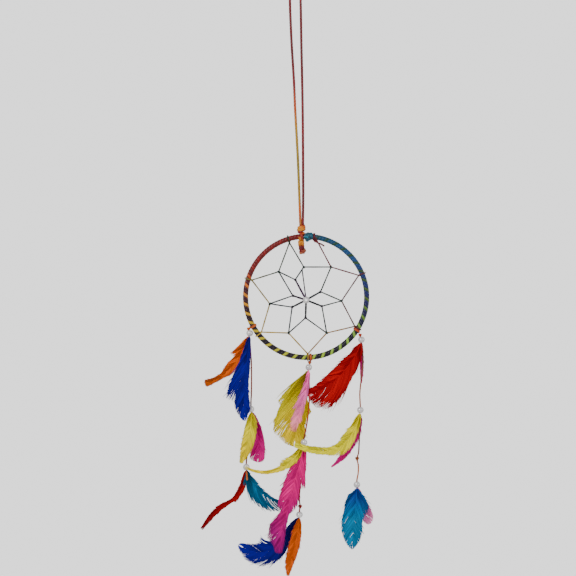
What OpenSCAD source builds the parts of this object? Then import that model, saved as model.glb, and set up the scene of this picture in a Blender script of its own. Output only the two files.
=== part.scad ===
// Dream catcher: a cord-wrapped hoop with a knotted thread web, hung by a looped cord,
// with beaded strings of dyed feathers tied to its lower half.
// Millimetres. +Z is up, -Y faces the viewer, and the origin is where a nail bears
// on the inside of the hanging loop's top.

/* [Hanging loop] */
// Drop from the nail to the lower ends of the loop cord
loop_drop = 212; // [160:1:260]
// Thickness of the satin loop cord
loop_cord_d = 2.5; // [1.6:0.1:2.5]
// Width of the hitch band round the hoop
hitch_w = 3.8; // [3:0.1:3.8]

/* [Hoop] */
// Outside diameter of the wrapped hoop, over its plain wrapping
hoop_d = 113.4; // [112:0.2:114]
// Thickness of the wire ring inside the wrapping
core_d = 3; // [2:0.1:3]
// Thickness of the hoop over the first wrapping cord
wrap_d = 4.4; // [4:0.1:4.4]
// Thickness of the hoop over the raised second cord
stripe_d = 5; // [4.6:0.1:5]
// Number of raised turns of the second cord round the hoop
stripe_n = 40; // [20:1:44]
// Share of each turn that the second cord covers
stripe_share = 0.4; // [0.2:0.05:0.5]

/* [Web] */
// Thickness of the web thread
thread_d = 1; // [0.6:0.1:1]
// Thickness of the doubled thread in the spokes at the middle
spoke_d = 1.4; // [1:0.1:1.5]
// Diameter of the bead in the middle of the web
web_bead_d = 6.4; // [5:0.1:7]

/* [Strings] */
// Diameter of the beads on the strings
bead_d = 6; // [5.6:0.1:6]
// Diameter of a bead's hole
bore_d = 2.8; // [2.8:0.1:3]
// Thickness of the strings
string_d = 1.4; // [1:0.1:1.4]

/* [Feathers] */
// Thickness of a feather's vane
vane_t = 1; // [0.6:0.1:1]
// Thickness of a feather's shaft
shaft_d = 1.5; // [1:0.1:1.6]
// Distance from the strings' plane to the nearest layer of feathers
layer_first = 4.2; // [4.1:0.1:5]
// Distance between neighbouring layers of feathers
layer_step = 1.8; // [1.6:0.1:2.4]

/* [Hidden] */
// Feathers: name, string, bead, layer (negative in front), length, the shaft's direction
// in degrees from straight down at even steps, and the vane's width at even steps
feathers = [
    ["left_blue_feather", 0, 0, -2, 75, [-6, -7, 8], [2, 9, 16, 20, 3], "navy"],
    ["left_orange_feather", 0, 0, 1, 60, [-25, -30, -51, -74], [2, 9, 12, 7, 5], "darkorange"],
    ["left_yellow_feather", 0, 1, -1, 45, [4, -15, -18], [2, 8, 11, 8, 2], "gold"],
    ["left_magenta_feather", 0, 1, 2, 45, [29, 6, -10], [2, 9, 13, 14, 9], "mediumvioletred"],
    ["left_red_feather", 0, 2, 2, 69, [-5, -20, -48, -60, -40, -30], [2, 5, 7, 5, 1.5], "firebrick"],
    ["left_teal_feather", 0, 2, 1, 46, [17, 38, 56, 72], [2, 9, 13, 9, 3], "teal"],
    ["centre_pink_feather", 1, 0, -2, 51, [-4, -18, -17], [2, 8, 10, 13, 5], "hotpink"],
    ["centre_yellow_feather", 1, 0, 1, 66, [-18, -10, -6], [4, 16, 30, 34, 12], "yellow"],
    ["centre_gold_feather", 1, 1, -3, 62, [-35, -50, -85, -120], [3, 9, 6, 3.5, 2], "gold"],
    ["centre_magenta_feather", 1, 1, -2, 98, [-11, -18, -14, -13, -15], [3, 14, 20, 11, 14],
        "mediumvioletred"],
    ["centre_orange_feather", 1, 2, -1, 52, [-5, -14, -13], [2, 8, 11.5, 9, 2], "darkorange"],
    ["centre_blue_feather", 1, 2, 3, 70, [-28, -36, -65, -113], [2, 8, 13, 18, 5], "navy"],
    ["right_red_feather", 2, 0, -1, 61, [-23, -37, -52, -66], [3, 13, 22, 20, 3], "firebrick"],
    ["right_pink_feather", 2, 0, 1, 36, [3, 0, -4], [2, 5, 7, 6, 2], "palevioletred"],
    ["right_yellow_feather", 2, 1, -4, 77, [-14, -38, -94, -111], [4, 10, 14, 10, 3], "yellow"],
    ["right_magenta_feather", 2, 1, 1, 56, [-11, -25, -52], [2, 7, 10, 8, 2], "mediumvioletred"],
    ["right_teal_feather", 2, 2, -1, 54, [-3, -6, -3], [4, 14, 22, 19, 6], "teal"],
    ["right_rose_feather", 2, 2, 1, 30, [14, 16], [3, 8, 12, 12, 6], "orchid"]
];

gap = 0.25;
round_fn = 48;
cord_sides = 8;

// Hoop, with its centre below the loop. Angles on it run from +X towards +Z.
hoop_x = 10;
hoop_z = -(loop_drop + 66);
ring_r = (hoop_d - wrap_d) / 2;
wrap_r = wrap_d / 2;
stripe_r = stripe_d / 2;
tie_r = stripe_r + 0.7;
tie_w = 2.2;

// Hitch: the band's place on the hoop, and the line that the loop twists about
hitch_dx = -4;
hitch_angle = acos(hitch_dx / ring_r);
hitch_z = ring_r * sin(hitch_angle);
twist_dx = -4.3;
hitch_r = stripe_r + gap;

// Route of the loop cord: up the left side, over the nail and down the right side
loop_points = [
    [4.3, -212], [4.1, -197], [2.6, -154], [0.2, -110], [-1, -83], [-3.2, -47],
    [-4.6, -11], [-3.9, -5], [-2.3, -0.8], [0, 1.2], [2.3, -0.8], [4.2, -5],
    [5, -11], [5.8, -54], [6.7, -97], [7.2, -140], [7.3, -183], [7, -212]
];

// Places below are [x, z] from the hoop's centre.
bead_at = [
    [[-50.8, -32.7], [-49.6, -101], [-53.8, -153.2]],
    [[2.4, -63.4], [-1.9, -131], [-6, -196]],
    [[49.8, -38.5], [48.8, -101.8], [45.7, -169]]
];
knot_at = [[-51.8, -28.8], [3.2, -59.1], [48.6, -34.4]];
knot_r = 1.1;
tie_angles = [208.9, 274.2, 326.6];

// Routes of the strings, from just under one bead to inside the next
string_points = [
    [
        [[-50.8, -36.2], [-50, -48], [-49.2, -62], [-49.2, -84], [-49.6, -94], [-49.6, -103.6]],
        [[-49.6, -104.5], [-50.2, -116], [-51.4, -130], [-53, -142], [-53.8, -149], [-53.8, -155.8]]
    ],
    [
        [[2.4, -66.9], [2.8, -80], [2.8, -93], [1.6, -108], [-0.4, -120], [-1.8, -127], [-1.9, -133.6]],
        [[-1.9, -134.5], [-2.6, -146], [-4.2, -162], [-5.6, -174], [-6.1, -182], [-5.4, -188.5],
         [-6, -192.5], [-6, -198.6]]
    ],
    [
        [[49.8, -42], [51, -52], [51, -60], [49.8, -72], [48.4, -86], [48.6, -95], [48.8, -99],
         [48.8, -104.4]],
        [[48.8, -105.3], [48.2, -116], [47.8, -130], [47.2, -140], [45.9, -145.5], [47, -152],
         [46.8, -159], [45.7, -165], [45.7, -171.6]]
    ]
];
tail_points = [[-53.8, -157], [-53.4, -160], [-53.1, -165]];
string_knots = [[-5.4, -188.6], [45.9, -145.5]];

// Web: where the thread is tied to the hoop, and the corners of its two rounds
tie_at = [106.9, 162.8, 218.2, 271.6, 328.9, 22.2, 82.7];
outer_at = [[-2.1, 26.9], [22.4, 26.9], [31.9, -3.6], [18.5, -32.5], [-15.8, -32.5],
    [-32.7, -6.2], [-24.7, 22.7]];
inner_at = [[13, 4.6], [14.2, -8.4], [-0.5, -18.9], [-12.6, -9.2], [-12, 1.1], [-9.8, 15.5]];
web_bead_at = [0, -2.8];
drop_at = [-3.6, 24.6];
start_knot_at = [8, 50];
start_tail_at = [16, 46];

feather_steps = 14;
vane_start = 5;
shaft_r = 0.28;
shaft_w = 0.9;
shaft_y = 1.08;
quill_turn = 1.6;

// ---- Helpers ----

// A value at t from 0 to 1 along an evenly spaced list
function along(list, t) =
    let (u = min(max(t, 0), 1) * (len(list) - 1), i = min(floor(u), len(list) - 2))
    list[i] * (1 - (u - i)) + list[i + 1] * (u - i);

function on_hoop(angle, r = ring_r) = [r * cos(angle), r * sin(angle)];
function xz(p, y = 0) = [hoop_x + p[0], y, hoop_z + p[1]];
function unit(v) = v / norm(v);

// A smooth curve through the points at u from 0 to len(points) - 1
function curve_at(points, u) =
    let (
        n = len(points),
        i = min(floor(u), n - 2),
        t = u - i,
        b = points[i],
        c = points[i + 1],
        a = i > 0 ? points[i - 1] : 2 * b - c,
        d = i < n - 2 ? points[i + 2] : 2 * c - b
    )
    (2 * b + (c - a) * t + (2 * a - 5 * b + 4 * c - d) * t * t + (3 * b - a - 3 * c + d) * t * t * t) / 2;

// Samples of the curve, with more on the longer stretches
function curve_points(points, spacing) = concat(
    [for (i = [0 : len(points) - 2])
        let (n = max(1, round(norm(points[i + 1] - points[i]) / spacing)))
        for (k = [0 : n - 1]) curve_at(points, i + k / n)],
    [points[len(points) - 1]]
);

// A round cord along points in the XZ plane
module cord(points, d, spacing) {
    line = curve_points(points, spacing);
    n = len(line);
    rings = [for (i = [0 : n - 1])
        let (
            way = unit(line[min(i + 1, n - 1)] - line[max(i - 1, 0)]),
            side = [-way[1], way[0]]
        )
        for (k = [0 : cord_sides - 1])
            let (a = 360 * k / cord_sides, s = d / 2 * cos(a))
            [line[i][0] + side[0] * s, d / 2 * sin(a), line[i][1] + side[1] * s]];
    walls = [for (i = [0 : n - 2], k = [0 : cord_sides - 1])
        let (k2 = (k + 1) % cord_sides, p = i * cord_sides, q = p + cord_sides)
        each [[p + k, q + k, q + k2], [p + k, q + k2, p + k2]]];
    cap = [for (k = [0 : cord_sides - 1]) k];
    end_cap = [for (k = [cord_sides - 1 : -1 : 0]) (n - 1) * cord_sides + k];
    polyhedron(rings, concat([cap], walls, [end_cap]));
}

// A straight rod between two points in space
module rod(a, b, r, sides = cord_sides) {
    v = b - a;
    translate(a)
        rotate([0, acos(v[2] / norm(v)), atan2(v[1], v[0])])
            cylinder(h = norm(v), r = r, $fn = sides);
}

// A sleeve round the hoop's tube, from one hoop angle to another
module sleeve(r_in, r_out, from, to) {
    translate(xz([0, 0]))
        rotate([90, 0, 0])
            rotate([0, 0, from])
                rotate_extrude(angle = to - from, $fn = 72)
                    translate([ring_r, 0])
                        difference() {
                            circle(r = r_out, $fn = round_fn);
                            circle(r = r_in, $fn = round_fn);
                        }
}

// A band of width w round the tube, centred at a hoop angle
module band(r_in, r_out, angle, w) {
    half = w / 2 / ring_r * 180 / PI;
    sleeve(r_in, r_out, angle - half, angle + half);
}

// A round-ended barrel about a vertical line: half height h, radius r, flat ends of radius e
module barrel(h, r, e) {
    rotate_extrude($fn = round_fn)
        polygon(concat(
            [[0, -h], [e, -h]],
            [for (a = [-60 : 15 : 60]) [e + (r - e) * cos(a), h * sin(a) / sin(75)]],
            [[e, h], [0, h]]
        ));
}

// ---- Hanging loop and hitch ----

module hanging_loop() {
    stretch = loop_drop / 212;
    color("maroon")
        cord([for (p = loop_points) [p[0], p[1] > 0 ? p[1] : p[1] * stretch]], loop_cord_d, 6);
}

// The knot above the hoop, with the band that goes round it
module hitch_knot() {
    color("orangered")
        difference() {
            union() {
                translate(xz([twist_dx, hitch_z + 6.9]))
                    barrel(3.9, 3.8, 2.2);
                translate(xz([hitch_dx - hitch_w / 2, hitch_z]))
                    rotate([0, 90, 0])
                        cylinder(h = hitch_w, r = hitch_r + 1.4, $fn = round_fn);
            }
            translate(xz([hitch_dx - 10, hitch_z]))
                rotate([0, 90, 0])
                    cylinder(h = 20, r = hitch_r, $fn = round_fn);
        }
}

// The wrapped tail that hangs under the hitch, ending in a knot
module hitch_tail() {
    top = hitch_z - hitch_r - 1.4;
    color("goldenrod")
        translate(xz([hitch_dx - 0.6, top - 1.7]))
            barrel(1.7, 2.7, 1.6);
    color("maroon")
        translate(xz([hitch_dx - 0.2, top - 6.8]))
            cylinder(h = 3.5, r = 2, $fn = round_fn);
    color("maroon")
        translate(xz([hitch_dx + 0.6, top - 8.4]))
            barrel(2.1, 3.3, 1.4);
}

// ---- Hoop ----

module hoop_core() {
    color("silver")
        translate(xz([0, 0]))
            rotate([90, 0, 0])
                rotate_extrude($fn = 72)
                    translate([ring_r, 0])
                        circle(d = core_d, $fn = round_fn);
}

module hoop_wrap() {
    color("midnightblue")
        translate(xz([0, 0]))
            rotate([90, 0, 0])
                rotate_extrude($fn = 72)
                    translate([ring_r, 0])
                        difference() {
                            circle(r = wrap_r, $fn = round_fn);
                            circle(d = core_d + 0.1, $fn = round_fn);
                        }
}

// The raised turns of the second cord
module hoop_stripe() {
    turn = 360 / stripe_n;
    color("olive")
        for (i = [0 : stripe_n - 1])
            sleeve(wrap_r + 0.05, stripe_r, i * turn, (i + stripe_share) * turn);
}

module wrap_end_knot() {
    color("steelblue")
        band(stripe_r + 0.05, stripe_r + 1.2, 87.6, 5.4);
}

// ---- Web ----

// Straight threads between corners; neighbours pass in front of and behind each other
module threads(corners, d) {
    lift = 0.2;
    for (i = [0 : len(corners) - 2]) {
        y = i % 2 == 0 ? lift : -lift;
        rod(xz(corners[i], y), xz(corners[i + 1], y), d / 2);
    }
}

// Where the thread leaves the tie at a hoop angle
function tied(i) = on_hoop(tie_at[i], ring_r - tie_r - 0.3);

module web_outer() {
    corners = concat(
        [tied(6)],
        [for (i = [1 : 6]) each [outer_at[i], tied(6 - i)]],
        [outer_at[0], outer_at[1]]
    );
    color("darkolivegreen")
        threads(corners, thread_d);
}

module web_middle() {
    corners = concat(
        [outer_at[1]],
        [for (i = [0 : 5]) each [inner_at[i], outer_at[(i + 2) % 7]]]
    );
    color("darkgreen")
        threads(corners, thread_d);
}

module web_inner() {
    color("black") {
        for (p = inner_at)
            rod(xz(p), xz(web_bead_at + unit(p - web_bead_at) * (web_bead_d / 2 - 0.1)), spoke_d / 2);
        rod(xz(drop_at), xz(web_bead_at + unit(drop_at - web_bead_at) * (web_bead_d / 2 - 0.1)),
            thread_d / 2);
    }
}

module web_ties() {
    color("darkred")
        for (a = tie_at)
            band(stripe_r + 0.1, tie_r, a, 1);
}

// The knot that starts the web, with the thread's loose end
module web_start_knot() {
    color("darkred") {
        translate(xz(start_knot_at))
            sphere(r = 1.2, $fn = round_fn);
        rod(xz(start_knot_at), xz(start_tail_at), thread_d / 2);
    }
}

module web_bead() {
    color("gainsboro")
        translate(xz(web_bead_at))
            sphere(d = web_bead_d, $fn = round_fn);
}

// ---- Strings ----

module tie(i, c) {
    color(c)
        band(stripe_r + 0.05, tie_r, tie_angles[i], tie_w);
}

// The knot under the hoop and the short lead from it into the first bead
module string_knot(i, c) {
    bead = bead_at[i][0];
    color(c) {
        translate(xz(knot_at[i]))
            sphere(r = knot_r, $fn = round_fn);
        rod(xz(knot_at[i]), xz([bead[0], bead[1] + 1.5]), 0.4);
    }
}

module bead(i, k) {
    color("gainsboro")
        translate(xz(bead_at[i][k]))
            difference() {
                sphere(d = bead_d, $fn = round_fn);
                cylinder(h = 2 * bead_d, d = bore_d, center = true, $fn = round_fn);
            }
}

module string(i, k, c) {
    color(c)
        translate(xz([0, 0]))
            cord(string_points[i][k], string_d, 3.6);
}

module left_tail() {
    color("darkorange")
        translate(xz([0, 0]))
            cord(tail_points, string_d, 3);
}

// A knot tied in a string between two beads
module mid_knot(k, c) {
    color(c)
        translate(xz(string_knots[k]))
            sphere(r = 1.7, $fn = round_fn);
}

// ---- Feathers ----

// The unit step at an angle from straight down, positive towards +X
function downward(a) = [sin(a), -cos(a)];

// Points down the shaft in the XZ plane, from the bead's mouth
function shaft_line(length, angles) =
    let (step = length / feather_steps)
    [for (
        i = 0, p = [0, 0];
        i <= feather_steps;
        p = p + step * downward(along(angles, (i + 0.5) / feather_steps)), i = i + 1
    ) p];

// The outline of a strip along the shaft between two steps, its first end moved back by early
function outline(line, angles, widths, first, last, early = 0) =
    let (
        edge = function (i, s)
            let (a = along(angles, i / feather_steps), back = i == first ? early : 0)
            line[i] - back * downward(a)
                + s * along(widths, i / feather_steps) / 2 * [cos(a), sin(a)]
    )
    concat(
        [for (i = [first : last]) edge(i, 1)],
        [for (i = [last : -1 : first]) edge(i, -1)]
    );

// One feather: a flat vane in its layer, its shaft, and the quill that goes into the bead
module feather(f) {
    bead = bead_at[f[1]][f[2]];
    side = sign(f[3]);
    layer = side * (layer_first + layer_step * (abs(f[3]) - 1));
    line = shaft_line(f[4], f[5]);
    first = ceil(vane_start / f[4] * feather_steps);
    quill_x = shaft_y * sin(quill_turn * f[5][0]);
    quill_y = side * shaft_y * cos(quill_turn * f[5][0]);
    mouth = bead - [0, bead_d / 2];
    color(f[7]) {
        translate(xz(mouth, layer))
            rotate([90, 0, 0]) {
                linear_extrude(height = vane_t, center = true)
                    polygon(outline(line, f[5], f[6], first, feather_steps));
                linear_extrude(height = shaft_d, center = true)
                    polygon(outline(line, f[5], [shaft_w, shaft_w * 0.5], first, feather_steps - 1, 0.9));
            }
        rod(xz(mouth + [quill_x, 1.3], quill_y), xz(mouth + [quill_x, -0.6], quill_y), shaft_r);
        rod(xz(mouth + [quill_x, -0.5], quill_y), xz(mouth + line[first], layer), shaft_r);
    }
}

hanging_loop();
hitch_knot();
hitch_tail();
hoop_core();
hoop_wrap();
hoop_stripe();
wrap_end_knot();
web_outer();
web_middle();
web_inner();
web_ties();
web_start_knot();
web_bead();
tie(0, "darkorange");  // left_tie
tie(1, "saddlebrown");  // centre_tie
tie(2, "darkred");  // right_tie
string_knot(0, "darkorange");  // left_knot
string_knot(1, "saddlebrown");  // centre_knot
string_knot(2, "darkred");  // right_knot
bead(0, 0);  // left_bead_1
bead(0, 1);  // left_bead_2
bead(0, 2);  // left_bead_3
bead(1, 0);  // centre_bead_1
bead(1, 1);  // centre_bead_2
bead(1, 2);  // centre_bead_3
bead(2, 0);  // right_bead_1
bead(2, 1);  // right_bead_2
bead(2, 2);  // right_bead_3
string(0, 0, "sienna");  // left_string_1
string(0, 1, "sienna");  // left_string_2
string(1, 0, "brown");  // centre_string_1
string(1, 1, "brown");  // centre_string_2
string(2, 0, "chocolate");  // right_string_1
string(2, 1, "chocolate");  // right_string_2
left_tail();
mid_knot(0, "brown");  // centre_string_knot
mid_knot(1, "saddlebrown");  // right_string_knot
for (f = feathers) feather(f);
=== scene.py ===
import math
import bpy
import numpy as np
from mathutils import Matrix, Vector


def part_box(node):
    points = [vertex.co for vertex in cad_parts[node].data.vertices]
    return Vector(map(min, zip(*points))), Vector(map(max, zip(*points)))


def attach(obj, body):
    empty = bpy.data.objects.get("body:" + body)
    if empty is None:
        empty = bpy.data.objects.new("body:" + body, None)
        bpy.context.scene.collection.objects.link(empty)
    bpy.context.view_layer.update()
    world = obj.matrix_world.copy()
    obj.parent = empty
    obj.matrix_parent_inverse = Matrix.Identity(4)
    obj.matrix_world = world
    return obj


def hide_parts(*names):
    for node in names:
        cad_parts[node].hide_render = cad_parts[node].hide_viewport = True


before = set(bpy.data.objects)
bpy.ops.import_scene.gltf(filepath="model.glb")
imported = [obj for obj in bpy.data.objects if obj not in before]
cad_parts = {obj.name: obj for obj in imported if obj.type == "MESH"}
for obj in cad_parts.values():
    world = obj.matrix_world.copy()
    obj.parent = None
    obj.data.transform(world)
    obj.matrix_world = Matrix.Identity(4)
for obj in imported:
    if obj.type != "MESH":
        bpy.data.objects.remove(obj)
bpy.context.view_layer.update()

mm = 0.001
front = Vector((0, -1, 0))


def dye(r, g, b):
    # a colour as seen on screen, made linear and a little purer, since the view softens colours
    plain = [((c / 255 + 0.055) / 1.055) ** 2.4 if c > 10 else c / 3295 for c in (r, g, b)]
    mean = sum(plain) / 3
    return tuple(max(0, mean + (c - mean) * 1.15) for c in plain) + (1,)


def grey(value):
    return value, value, value, 1


def middle(node):
    low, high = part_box(node)
    return [(a + b) / 2 for a, b in zip(low, high)]


# a string's bodies end in these words, by the number of the bead
bodyOf = {1: "_top", 2: "_middle", 3: "_lower"}
hoopMiddle = middle("hoop_wrap")
hoopX, hoopZ = hoopMiddle[0], hoopMiddle[2]


def onPlane(x, z, y=0):
    # millimetres from the hoop's centre, as a point of the scene
    return Vector((hoopX + x * mm, y * mm, hoopZ + z * mm))


view = {"distance": 2.5, "width": 0.5184, "x": -0.0063, "z": -0.270}


def makeCamera():
    data = bpy.data.cameras.new("camera")
    data.lens = 36 * view["distance"] / view["width"]
    data.clip_end = 20
    camera = bpy.data.objects.new("camera", data)
    camera.location = (view["x"], -view["distance"], view["z"])
    camera.rotation_euler = (math.radians(90), 0, 0)
    bpy.context.collection.objects.link(camera)
    bpy.context.scene.camera = camera


studio = {
    "lighting": 0.62, "seen": 1.7,
    "lamps": [("keyLamp", (-0.9, -1.6, 0.5), 1.0, 26), ("sideLamp", (1.4, -0.9, -0.1), 0.8, 8)],
    "aim": (0, 0, -0.3),
    "floorRadius": 0.45, "floorDepth": 0.02, "floorHeight": -0.64, "floorColour": (0.85, 0.85, 0.84, 1),
}


def makeStudio():
    world = bpy.data.worlds.new("studio")
    bpy.context.scene.world = world
    world.use_nodes = True
    nodes, links = world.node_tree.nodes, world.node_tree.links
    sky = nodes["Background"]
    sky.inputs["Color"].default_value = (1, 1, 1, 1)
    # the white room is seen brighter than it lights
    rays = nodes.new("ShaderNodeLightPath")
    strength = nodes.new("ShaderNodeMapRange")
    strength.inputs["To Min"].default_value = studio["lighting"]
    strength.inputs["To Max"].default_value = studio["seen"]
    links.new(rays.outputs["Is Camera Ray"], strength.inputs["Value"])
    links.new(strength.outputs[0], sky.inputs["Strength"])
    for name, place, size, power in studio["lamps"]:
        data = bpy.data.lights.new(name, "AREA")
        data.size = size
        data.energy = power
        lamp = bpy.data.objects.new(name, data)
        lamp.location = place
        lamp.rotation_euler = (Vector(studio["aim"]) - Vector(place)).to_track_quat("-Z", "Y").to_euler()
        bpy.context.collection.objects.link(lamp)
    bpy.ops.object.select_all(action="DESELECT")
    bpy.ops.mesh.primitive_cylinder_add(vertices=96, radius=studio["floorRadius"], depth=studio["floorDepth"],
                                        location=(0, 0, studio["floorHeight"]))
    floor = bpy.context.object
    floor.name = "floor"
    bpy.ops.object.transform_apply(location=True, rotation=True, scale=True)
    paint = bpy.data.materials.new("floorPaint")
    paint.use_nodes = True
    shader = paint.node_tree.nodes["Principled BSDF"]
    shader.inputs["Base Color"].default_value = studio["floorColour"]
    shader.inputs["Roughness"].default_value = 0.7
    floor.data.materials.append(paint)


makeCamera()
makeStudio()
print("studio ready")


def newMaterial(name, roughness, sheen=0.0, metallic=0.0, coat=0.0):
    material = bpy.data.materials.new(name)
    material.use_nodes = True
    shader = material.node_tree.nodes["Principled BSDF"]
    shader.inputs["Roughness"].default_value = roughness
    shader.inputs["Metallic"].default_value = metallic
    shader.inputs["Sheen Weight"].default_value = sheen
    shader.inputs["Coat Weight"].default_value = coat
    return material, material.node_tree.nodes, material.node_tree.links, shader


def rampOf(nodes, stops):
    ramp = nodes.new("ShaderNodeValToRGB")
    while len(ramp.color_ramp.elements) < len(stops):
        ramp.color_ramp.elements.new(0.5)
    for element, (place, colour) in zip(ramp.color_ramp.elements, stops):
        element.position = place
        element.color = colour
    return ramp


def mixColours(nodes, links, kind, factor, a, b):
    mix = nodes.new("ShaderNodeMix")
    mix.data_type = "RGBA"
    mix.blend_type = kind
    mix.inputs[0].default_value = factor
    links.new(a, mix.inputs[6])
    links.new(b, mix.inputs[7])
    return mix.outputs[2]


def objectNoise(nodes, links, scale, detail=2):
    place = nodes.new("ShaderNodeTexCoord")
    noise = nodes.new("ShaderNodeTexNoise")
    noise.inputs["Scale"].default_value = scale
    noise.inputs["Detail"].default_value = detail
    links.new(place.outputs["Object"], noise.inputs["Vector"])
    return noise.outputs["Fac"]


def attributeOf(nodes, name):
    node = nodes.new("ShaderNodeAttribute")
    node.attribute_name = name
    return node.outputs["Fac"]


def addBump(nodes, links, shader, height, strength):
    bump = nodes.new("ShaderNodeBump")
    bump.inputs["Strength"].default_value = strength
    bump.inputs["Distance"].default_value = 0.2 * mm
    links.new(height, bump.inputs["Height"])
    links.new(bump.outputs[0], shader.inputs["Normal"])


def cordMaterial(name, stops, gloss=0.42):
    # satin cord: colour runs along the cord, painted shade darkens the grooves between strands, and dye is
    # uneven
    material, nodes, links, shader = newMaterial(name, gloss, sheen=0.05)
    shader.inputs["Specular IOR Level"].default_value = 0.35
    ramp = rampOf(nodes, stops)
    links.new(attributeOf(nodes, "along"), ramp.inputs[0])
    shade = rampOf(nodes, [(0.3, grey(0.62)), (0.7, grey(1.25))])
    links.new(objectNoise(nodes, links, 420, 4), shade.inputs[0])
    # painted shade: the colour is darkened where the relief sinks, in the grooves between strands and at the
    # sunk edges of windings
    ply = attributeOf(nodes, "ply")
    grooveShade = rampOf(nodes, [(0.0, grey(0.12)), (0.5, grey(1))])
    links.new(ply, grooveShade.inputs[0])
    dyed = mixColours(nodes, links, "MULTIPLY", 0.8, ramp.outputs[0], shade.outputs[0])
    links.new(mixColours(nodes, links, "MULTIPLY", 1.0, dyed, grooveShade.outputs[0]), shader.inputs["Base Color"])
    # fine fibres on rounded strands
    height = nodes.new("ShaderNodeMath")
    height.operation = "MULTIPLY_ADD"
    height.inputs[1].default_value = 0.5
    links.new(ply, height.inputs[0])
    links.new(objectNoise(nodes, links, 1800), height.inputs[2])
    addBump(nodes, links, shader, height.outputs[0], 0.25)
    return material


def pearlMaterial():
    # pearly silver lacquer, a little cloudy, greyer in patches
    material, nodes, links, shader = newMaterial("pearlLacquer", 0.22, metallic=0.35, coat=0.6)
    cloud = objectNoise(nodes, links, 260, 3)
    ramp = rampOf(nodes, [(0.35, dye(196, 192, 195)), (0.65, dye(236, 234, 232))])
    links.new(cloud, ramp.inputs[0])
    links.new(ramp.outputs[0], shader.inputs["Base Color"])
    addBump(nodes, links, shader, cloud, 0.08)
    return material


def wireMaterial():
    material, nodes, links, shader = newMaterial("hoopWire", 0.38, metallic=1.0)
    ramp = rampOf(nodes, [(0.3, (0.42, 0.42, 0.43, 1)), (0.7, (0.62, 0.62, 0.63, 1))])
    links.new(objectNoise(nodes, links, 900), ramp.inputs[0])
    links.new(ramp.outputs[0], shader.inputs["Base Color"])
    return material


def featherMaterial(name, stops):
    # colour runs from the root to the tip, and every barb takes the dye a little differently; the brightest
    # barbs are lifted into pale streaks of painted highlight
    material, nodes, links, shader = newMaterial(name, 0.8)
    shader.inputs["Specular IOR Level"].default_value = 0.12
    ramp = rampOf(nodes, stops)
    links.new(attributeOf(nodes, "along"), ramp.inputs[0])
    # below the middle the tone is random darker dye; above it the colour is brightened past the dye as
    # painted highlight
    shade = rampOf(nodes, [(0.0, grey(0.7)), (0.55, grey(1)), (1.0, grey(1.7))])
    links.new(attributeOf(nodes, "tone"), shade.inputs[0])
    links.new(mixColours(nodes, links, "MULTIPLY", 1.0, ramp.outputs[0], shade.outputs[0]),
              shader.inputs["Base Color"])
    return material



def smooth(points, step):
    # the same curve through given points as the solid cords follow
    out = []
    n = len(points)
    for i in range(n - 1):
        b, c = points[i], points[i + 1]
        a = points[i - 1] if i > 0 else 2 * b - c
        d = points[i + 2] if i < n - 2 else 2 * c - b
        count = max(2, round((c - b).length / step))
        for k in range(count):
            t = k / count
            out.append((2 * b + (c - a) * t + (2 * a - 5 * b + 4 * c - d) * t * t
                        + (3 * b - a - 3 * c + d) * t ** 3) / 2)
    out.append(points[-1].copy())
    return out


def lengthOf(line):
    return sum((b - a).length for a, b in zip(line, line[1:]))


def floatAttribute(mesh, name, values):
    attribute = mesh.attributes.new(name, "FLOAT", "POINT")
    attribute.data.foreach_set("value", np.asarray(values, np.float32))


def meshObject(name, verts, faces, attributes, material):
    mesh = bpy.data.meshes.new(name)
    mesh.from_pydata([tuple(v) for v in verts], [], faces)
    for key, values in attributes.items():
        floatAttribute(mesh, key, values)
    mesh.polygons.foreach_set("use_smooth", [True] * len(mesh.polygons))
    mesh.materials.append(material)
    mesh.update()
    obj = bpy.data.objects.new(name, mesh)
    bpy.context.collection.objects.link(obj)
    return obj


def tube(line, wide, thick=None, plies=0, pitch=4 * mm, sides=12, outward=None, spans=(0, 1), closed=False):
    # rings swept along a line: wide and thick are half sizes, plies twist round it
    thick = thick or wide
    n = len(line)
    total = lengthOf(line)
    verts, faces, along, ply = [], [], [], []
    run = 0.0
    normal = None
    for i, p in enumerate(line):
        before = line[i - 1] if i > 0 else (line[-2] if closed else p)
        after = line[i + 1] if i < n - 1 else (line[1] if closed else p)
        way = (after - before).normalized()
        if i > 0:
            run += (p - line[i - 1]).length
        if outward is not None:
            normal = (outward[i] - way * outward[i].dot(way)).normalized()
        elif normal is None:
            normal = way.cross(Vector((0, 1, 0)))
            if normal.length < 0.1:
                normal = way.cross(Vector((1, 0, 0)))
            normal.normalize()
        else:
            normal = (normal - way * normal.dot(way)).normalized()
        side = way.cross(normal)
        turn = 2 * math.pi * run / pitch
        w = wide(run / total) if callable(wide) else wide
        h = thick(run / total) if callable(thick) else thick
        for k in range(sides):
            a = 2 * math.pi * k / sides
            lobe = abs(math.cos(plies / 2 * (a - turn))) if plies else 1
            r = 1 - 0.15 * (1 - lobe) if plies else 1
            verts.append(p + normal * (h * r * math.cos(a)) + side * (w * r * math.sin(a)))
            along.append(spans[0] + (spans[1] - spans[0]) * run / total)
            # the ply relief shapes the strands and, in the material, darkens their grooves as painted shade
            ply.append(lobe)
    for i in range(n - 1):
        for k in range(sides):
            k2 = (k + 1) % sides
            faces.append((i * sides + k, i * sides + k2, (i + 1) * sides + k2, (i + 1) * sides + k))
    faces.append(tuple(range(sides))[::-1])
    faces.append(tuple((n - 1) * sides + k for k in range(sides)))
    return verts, faces, along, ply


def tubeObject(name, tubes, material):
    # one piece from one or more tubes
    verts, faces, along, ply = [], [], [], []
    for v, f, a, p in tubes:
        start = len(verts)
        verts += v
        faces += [tuple(start + i for i in face) for face in f]
        along += a
        ply += p
    return meshObject(name, verts, faces, {"along": along, "ply": ply}, material)


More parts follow.
